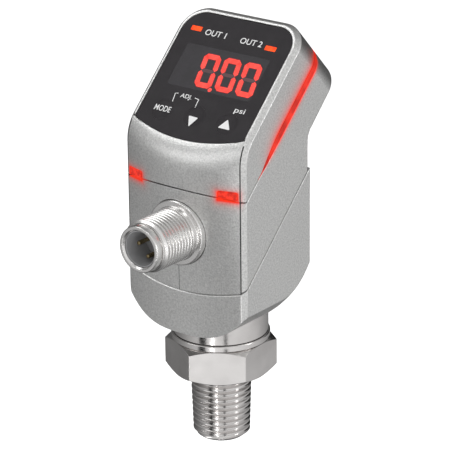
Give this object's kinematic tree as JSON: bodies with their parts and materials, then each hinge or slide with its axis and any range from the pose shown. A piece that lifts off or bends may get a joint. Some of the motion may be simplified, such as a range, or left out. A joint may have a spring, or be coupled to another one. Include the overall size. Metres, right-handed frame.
{
  "type": "pressure switch",
  "caption": "Compact electronic pressure switch: a swivelling die-cast head with a tilted display, push keys and a round plug inlet, on a stainless hexagon port with a taper pipe thread.",
  "frame": {"origin": "on the port's axis, in the plane of the hexagon's underside, where the port meets what it is screwed into", "axes": "+Z along the port's axis, up into the head; -Y is the front at rest, where the plug inlet points and the display faces; +X is to the display's right"},
  "size_m": [0.033, 0.0505, 0.0959],
  "materials": {
    "casting": "bead-blasted satin die casting",
    "stainless": "fine turned, bright",
    "nickel": "nickel plated, bright",
    "panel_film": "fine grained satin film",
    "window_lens": "smooth, smoked",
    "light_red": "translucent, lit from inside",
    "lamp_orange": "translucent, lit from inside",
    "seal_rubber": "matt",
    "circuit_board": "solder mask",
    "insert_plastic": "moulded, matt",
    "contact_gold": "gold plated",
    "ceramic": "fired, matt",
    "black_plastic": "moulded, fine texture",
    "flex_film": "polyimide film"
  },
  "bodies": {
    "port": {"process_port": "stainless", "pressure_cell": "ceramic", "cell_seal": "seal_rubber", "cell_clamp_ring": "stainless", "sensor_board": "circuit_board", "spindle_seal": "seal_rubber", "retaining_ring": "stainless", "swivel_stop_pin": "stainless"},
    "head": {"wave_washer": "stainless", "swivel_collar": "stainless", "lower_housing": "casting", "upper_housing": "casting", "front_cover": "casting", "lower_gasket": "seal_rubber", "cover_gasket": "seal_rubber", "vent_plug": "black_plastic", "light_guide": "light_red", "display_panel": "panel_film", "display_window": "window_lens", "digit_module": "black_plastic", "display_board": "circuit_board", "light_window_left": "light_red", "light_window_right": "light_red", "output_lamp_left": "lamp_orange", "output_lamp_right": "lamp_orange", "status_led_left": "ceramic", "status_led_right": "ceramic", "switch_mode": "black_plastic", "switch_down": "black_plastic", "switch_up": "black_plastic", "main_board": "circuit_board", "board_flex": "flex_film", "connector_shell": "nickel", "connector_insert": "insert_plastic", "connector_seal": "seal_rubber", "connector_nut": "stainless", "contact_pin_1": "contact_gold", "contact_pin_2": "contact_gold", "contact_pin_3": "contact_gold", "contact_pin_4": "contact_gold", "cover_screw_left": "stainless", "cover_screw_right": "stainless", "body_screw_left": "stainless", "body_screw_right": "stainless"},
    "key_mode": {"key_mode": "panel_film"},
    "key_down": {"key_down": "panel_film"},
    "key_up": {"key_up": "panel_film"}
  },
  "joints": [
    {"name": "head_swivel", "type": "hinge", "parent": "port", "child": "head", "pos_m": [0, 0, 0], "axis": [0, 0, 1], "range_deg": [-165, 165]},
    {"name": "key_mode_press", "type": "slide", "parent": "head", "child": "key_mode", "axis": [0, 0.6896, -0.7242], "range_m": [0, 0.0004], "stiffness_N_per_m": 1500},
    {"name": "key_down_press", "type": "slide", "parent": "head", "child": "key_down", "axis": [0, 0.6896, -0.7242], "range_m": [0, 0.0004], "stiffness_N_per_m": 1500},
    {"name": "key_up_press", "type": "slide", "parent": "head", "child": "key_up", "axis": [0, 0.6896, -0.7242], "range_m": [0, 0.0004], "stiffness_N_per_m": 1500}
  ]
}
